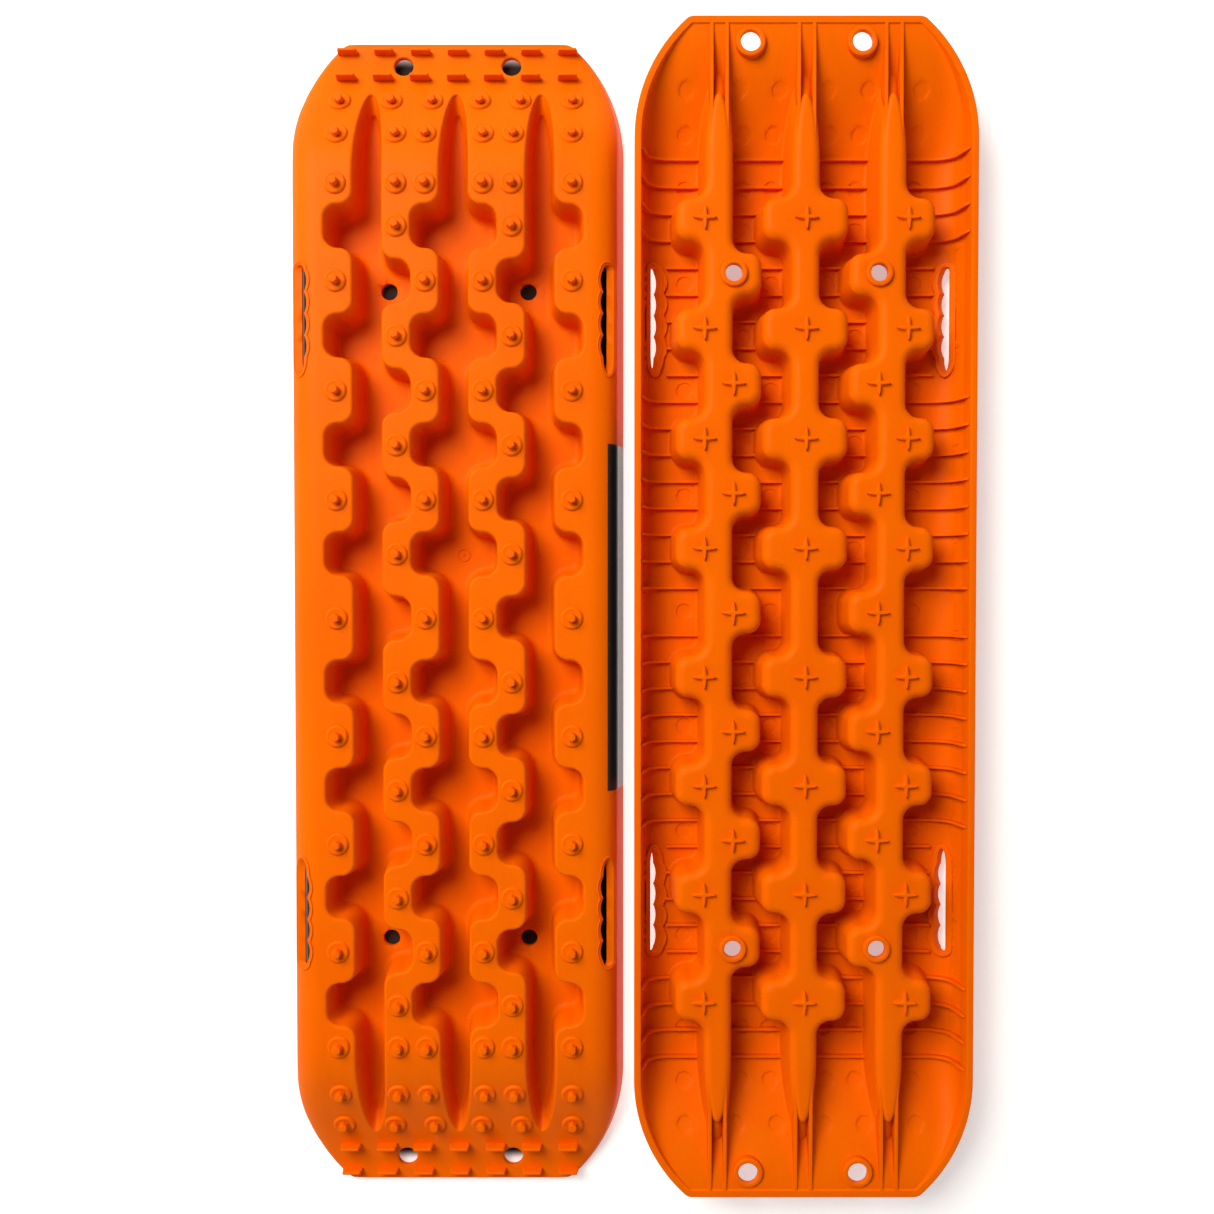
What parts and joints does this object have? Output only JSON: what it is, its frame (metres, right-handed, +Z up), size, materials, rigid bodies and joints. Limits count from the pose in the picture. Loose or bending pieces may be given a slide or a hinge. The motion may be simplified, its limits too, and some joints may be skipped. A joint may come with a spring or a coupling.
{
  "type": "tire traction mats",
  "caption": "Pair of moulded recovery mats for a stuck wheel, with zigzag channels, studs, ramped toothed ends and finger holes; one lies studs up, one upside down.",
  "frame": {"origin": "bottom centre of the pair's box, on the ground between the two mats", "axes": "+Y along the mats towards their head ends, +Z up, +X from the studs-up mat to the upturned mat"},
  "size_m": [0.625, 1.07, 0.0585],
  "materials": {
    "orange_nylon": "satin moulded nylon with a fine grain",
    "label_film": "satin black film, blank"
  },
  "bodies": {
    "mat_a": {"a_left_outer_land": "orange_nylon", "a_left_inner_land": "orange_nylon", "a_right_inner_land": "orange_nylon", "a_right_outer_land": "orange_nylon", "a_head_ramp": "orange_nylon", "a_tail_ramp": "orange_nylon", "a_left_flank": "orange_nylon", "a_right_flank": "orange_nylon", "a_left_channel": "orange_nylon", "a_centre_channel": "orange_nylon", "a_right_channel": "orange_nylon", "a_left_outer_studs": "orange_nylon", "a_left_inner_studs": "orange_nylon", "a_right_inner_studs": "orange_nylon", "a_right_outer_studs": "orange_nylon", "a_head_teeth": "orange_nylon", "a_tail_teeth": "orange_nylon", "a_cross_ribs": "orange_nylon", "a_head_nose_ribs": "orange_nylon", "a_tail_nose_ribs": "orange_nylon", "a_left_crosses": "orange_nylon", "a_centre_crosses": "orange_nylon", "a_right_crosses": "orange_nylon", "a_pin_bosses": "orange_nylon", "a_head_eyelets": "orange_nylon", "a_tail_eyelets": "orange_nylon", "a_left_grip_beads": "orange_nylon", "a_right_grip_beads": "orange_nylon", "a_label": "label_film"},
    "mat_b": {"b_left_outer_land": "orange_nylon", "b_left_inner_land": "orange_nylon", "b_right_inner_land": "orange_nylon", "b_right_outer_land": "orange_nylon", "b_head_ramp": "orange_nylon", "b_tail_ramp": "orange_nylon", "b_left_flank": "orange_nylon", "b_right_flank": "orange_nylon", "b_left_channel": "orange_nylon", "b_centre_channel": "orange_nylon", "b_right_channel": "orange_nylon", "b_left_outer_studs": "orange_nylon", "b_left_inner_studs": "orange_nylon", "b_right_inner_studs": "orange_nylon", "b_right_outer_studs": "orange_nylon", "b_head_teeth": "orange_nylon", "b_tail_teeth": "orange_nylon", "b_cross_ribs": "orange_nylon", "b_head_nose_ribs": "orange_nylon", "b_tail_nose_ribs": "orange_nylon", "b_left_crosses": "orange_nylon", "b_centre_crosses": "orange_nylon", "b_right_crosses": "orange_nylon", "b_pin_bosses": "orange_nylon", "b_head_eyelets": "orange_nylon", "b_tail_eyelets": "orange_nylon", "b_left_grip_beads": "orange_nylon", "b_right_grip_beads": "orange_nylon", "b_label": "label_film"}
  },
  "joints": [
    {"name": "mat_b_lift", "type": "slide", "parent": "mat_a", "child": "mat_b", "axis": [0, 0, 1], "range_m": [0, 0.3]}
  ]
}
